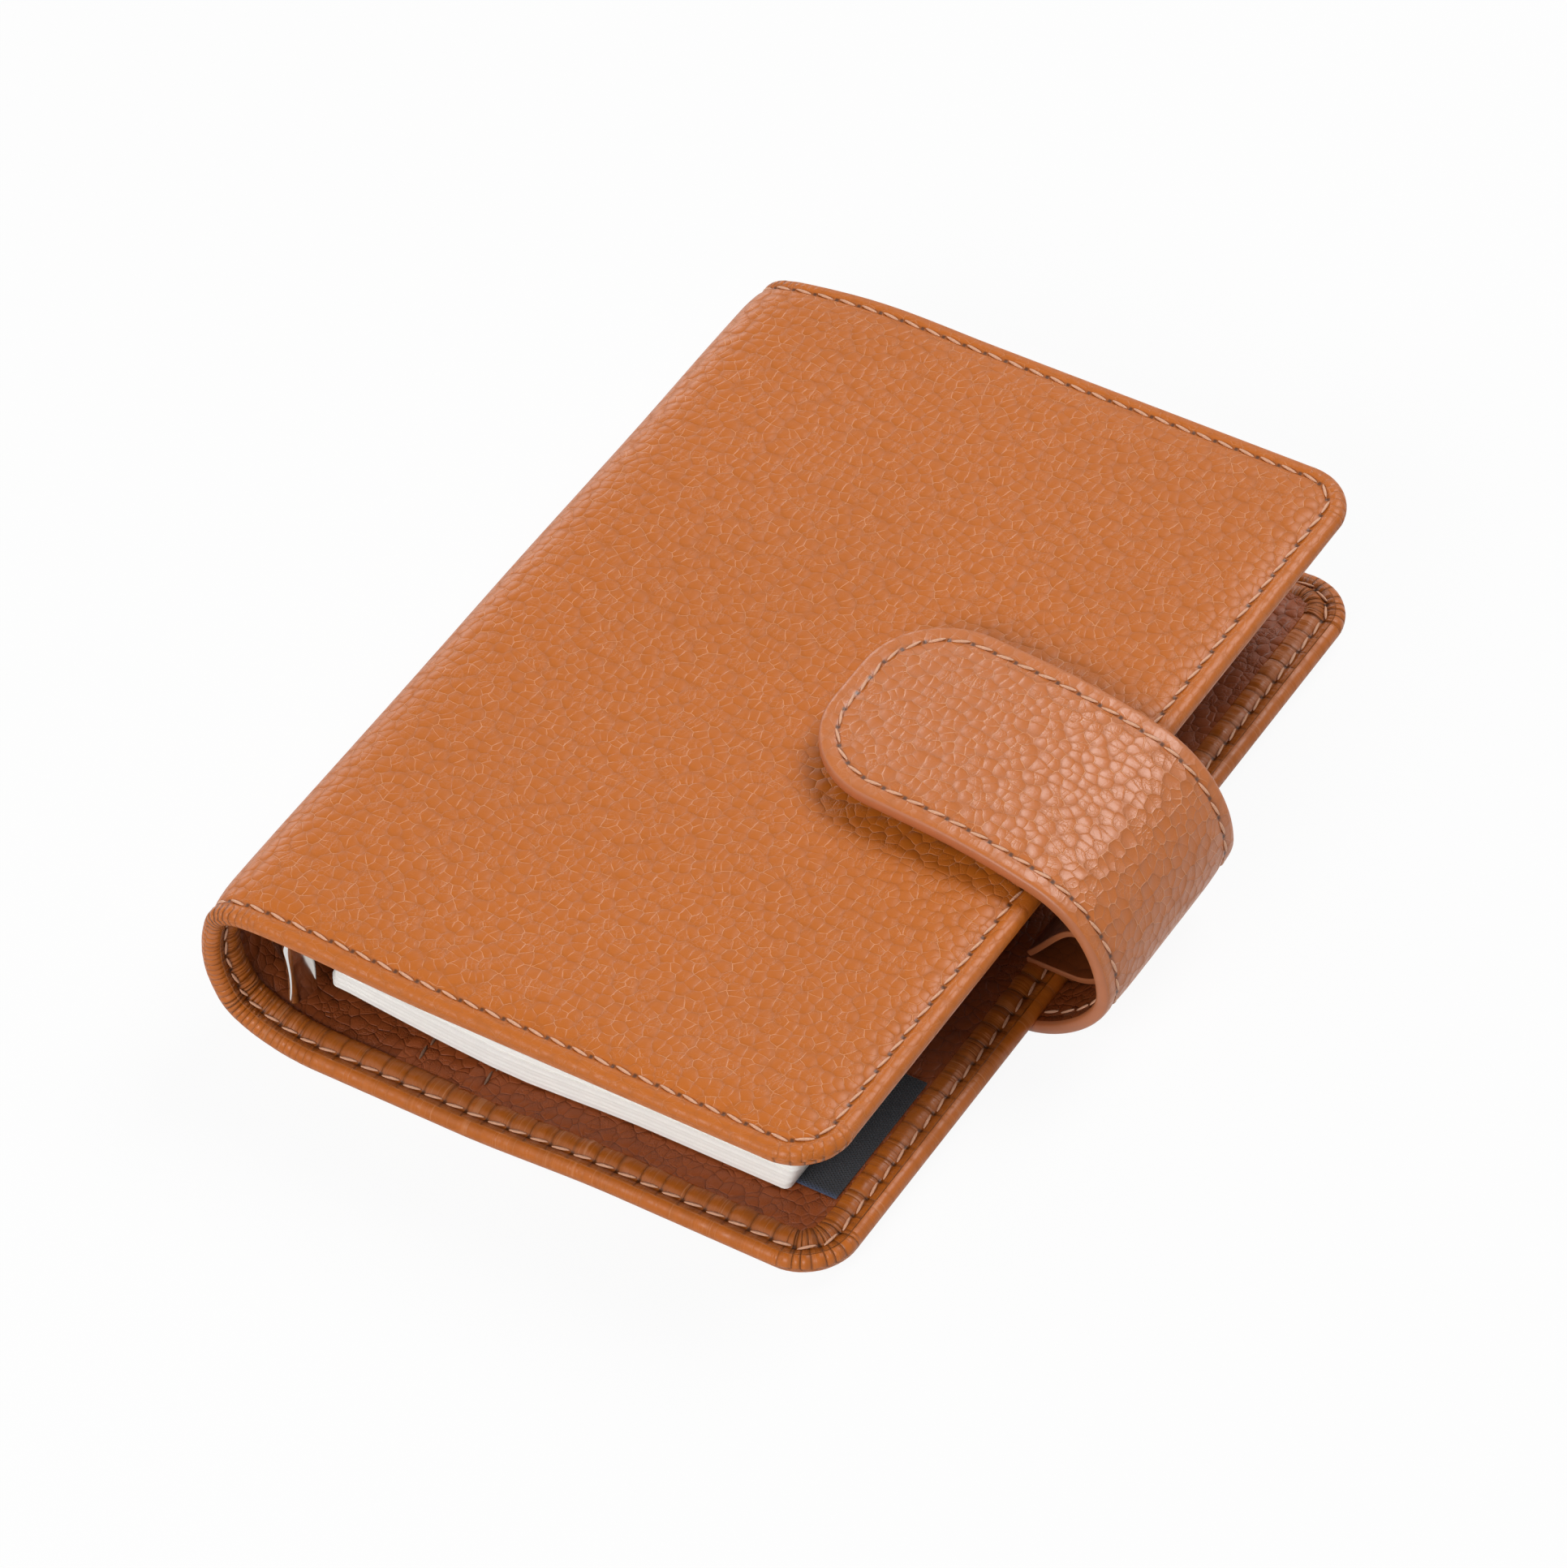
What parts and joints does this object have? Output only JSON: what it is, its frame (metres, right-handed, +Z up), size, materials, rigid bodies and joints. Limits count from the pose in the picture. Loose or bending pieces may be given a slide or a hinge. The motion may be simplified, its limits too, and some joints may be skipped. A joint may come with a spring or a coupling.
{
  "type": "ring planner",
  "caption": "Pocket ring planner: a padded leather cover with a snap strap and pen loop, closed round a page block on split rings that levers open.",
  "frame": {"origin": "on the table, under the middle of the bounding box of the closed planner", "axes": "+X from the spine to the fore-edge and strap, +Y from tail to head, +Z up"},
  "size_m": [0.094, 0.125, 0.0267],
  "materials": {
    "cover_leather": "semi-gloss pebbled grain, waxed",
    "strap_leather": "semi-gloss pebbled grain with painted edges",
    "pen_loop_leather": "semi-gloss, smooth grain",
    "lining_leather": "matt, smooth",
    "pocket_leather": "matt, smooth",
    "board": "matt grey board",
    "label_tape": "matt woven tape",
    "paper": "matt uncoated paper",
    "cover_sheet": "matt card",
    "ring_wire": "bright nickel plate",
    "mechanism_steel": "bright nickel plate",
    "snap_metal": "bright nickel plate"
  },
  "bodies": {
    "back_cover": {"back_cover_leather": "cover_leather", "back_cover_board": "board", "back_cover_lining": "lining_leather", "back_pocket_wide": "pocket_leather", "back_pocket_narrow": "pocket_leather", "woven_label": "label_tape", "pen_loop": "pen_loop_leather", "strap_anchor": "strap_leather", "strap_anchor_lining": "lining_leather"},
    "spine": {"spine_leather": "cover_leather", "spine_board": "board", "spine_lining": "lining_leather", "ring_housing": "mechanism_steel", "rivet_tail": "mechanism_steel", "rivet_head": "mechanism_steel"},
    "front_cover": {"front_cover_leather": "cover_leather", "front_cover_board": "board", "front_cover_lining": "lining_leather", "front_pocket": "pocket_leather", "front_card_pocket": "pocket_leather", "snap_stud": "snap_metal", "snap_post": "snap_metal"},
    "pages": {"page_pack_1": "paper", "page_pack_2": "paper", "page_pack_3": "paper", "page_pack_4": "paper", "cover_sheet": "cover_sheet"},
    "ring_upper": {"rail_upper": "mechanism_steel", "half_ring_upper_1": "ring_wire", "half_ring_upper_2": "ring_wire", "half_ring_upper_3": "ring_wire", "half_ring_upper_4": "ring_wire", "half_ring_upper_5": "ring_wire"},
    "ring_lower": {"rail_lower": "mechanism_steel", "half_ring_lower_1": "ring_wire", "half_ring_lower_2": "ring_wire", "half_ring_lower_3": "ring_wire", "half_ring_lower_4": "ring_wire", "half_ring_lower_5": "ring_wire"},
    "lever_tail": {"lever_tail": "mechanism_steel"},
    "lever_head": {"lever_head": "mechanism_steel"},
    "strap": {"strap_flap": "strap_leather", "strap_flap_lining": "lining_leather", "snap_cap": "snap_metal", "snap_socket": "snap_metal"}
  },
  "joints": [
    {"name": "back_crease", "type": "hinge", "parent": "back_cover", "child": "spine", "pos_m": [-0.0448, 0, 0.00557], "axis": [0, 1, 0], "range_deg": [-90, 0]},
    {"name": "front_crease", "type": "hinge", "parent": "spine", "child": "front_cover", "pos_m": [-0.04522, 0, 0.01801], "axis": [0, 1, 0], "range_deg": [-90, 0]},
    {"name": "page_turn", "type": "hinge", "parent": "spine", "child": "pages", "pos_m": [-0.03603, -0.0012, 0.01175], "axis": [0, 1, 0], "range_deg": [0, 90]},
    {"name": "ring_open", "type": "hinge", "parent": "spine", "child": "ring_upper", "pos_m": [-0.04336, -0.0012, 0.01625], "axis": [0, -1, 0], "range_deg": [0, 10], "stiffness_Nm_per_rad": 0.02, "springref_deg": -5.73},
    {"name": "ring_open_lower", "type": "hinge", "parent": "spine", "child": "ring_lower", "pos_m": [-0.04336, -0.0012, 0.00725], "axis": [0, 1, 0], "range_deg": [0, 10]},
    {"name": "lever_tail_press", "type": "hinge", "parent": "spine", "child": "lever_tail", "pos_m": [-0.04383, -0.048, 0.01175], "axis": [0, 0, -1], "range_deg": [0, 9]},
    {"name": "lever_head_press", "type": "hinge", "parent": "spine", "child": "lever_head", "pos_m": [-0.04383, 0.0456, 0.01175], "axis": [0, 0, 1], "range_deg": [0, 9]},
    {"name": "strap_swing", "type": "hinge", "parent": "back_cover", "child": "strap", "pos_m": [0.04427, -0.0018, 0.01943], "axis": [0, 1, 0], "range_deg": [0, 110]}
  ],
  "couplings": [
    {"joint": "page_turn", "follows": "back_crease", "ratio": -1},
    {"joint": "ring_open_lower", "follows": "ring_open", "ratio": 1},
    {"joint": "lever_tail_press", "follows": "ring_open", "ratio": 0.9},
    {"joint": "lever_head_press", "follows": "ring_open", "ratio": 0.9}
  ]
}
